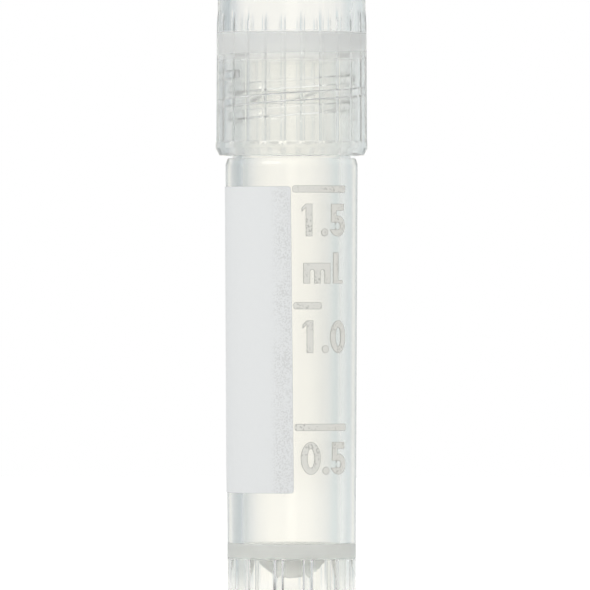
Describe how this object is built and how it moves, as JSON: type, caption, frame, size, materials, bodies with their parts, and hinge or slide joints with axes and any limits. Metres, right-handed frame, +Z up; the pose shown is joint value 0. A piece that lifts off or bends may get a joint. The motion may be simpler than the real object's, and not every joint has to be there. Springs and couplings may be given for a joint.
{
  "type": "cryovial",
  "caption": "Clear self-standing cryogenic vial with an external-thread screw cap, a white writing panel and volume graduations; holds small liquid samples for frozen storage.",
  "frame": {"origin": "Centre of the ring that the vial stands on, at the bottom of the foot skirt.", "axes": "+Z is up along the vial's axis, from foot to cap. -Y faces the front, where the writing panel's right-hand edge and the graduations are; +X is to the right seen from the front."},
  "size_m": [0.0125, 0.0124, 0.05],
  "materials": {
    "tube_plastic": "clear, glossy polypropylene",
    "cap_plastic": "natural, slightly milky polypropylene",
    "seal_silicone": "soft, matt",
    "panel_ink": "frosted white ink that takes a pen",
    "graduation_ink": "thin pale grey ink"
  },
  "bodies": {
    "tube": {"vial_tube": "tube_plastic", "writing_panel": "panel_ink", "graduation_lines": "graduation_ink", "graduation_numerals": "graduation_ink"},
    "seal": {"seal_washer": "seal_silicone"},
    "cap": {"screw_cap": "cap_plastic"}
  },
  "joints": [
    {"name": "cap_rise", "type": "slide", "parent": "tube", "child": "seal", "axis": [0, 0, 1], "range_m": [0, 0.0099]},
    {"name": "cap_turn", "type": "hinge", "parent": "seal", "child": "cap", "pos_m": [0, 0, 0.041], "axis": [0, 0, 1], "range_deg": [0, 1620.1]}
  ],
  "couplings": [
    {"joint": "cap_turn", "follows": "cap_rise", "rad_per_m": 2856}
  ]
}
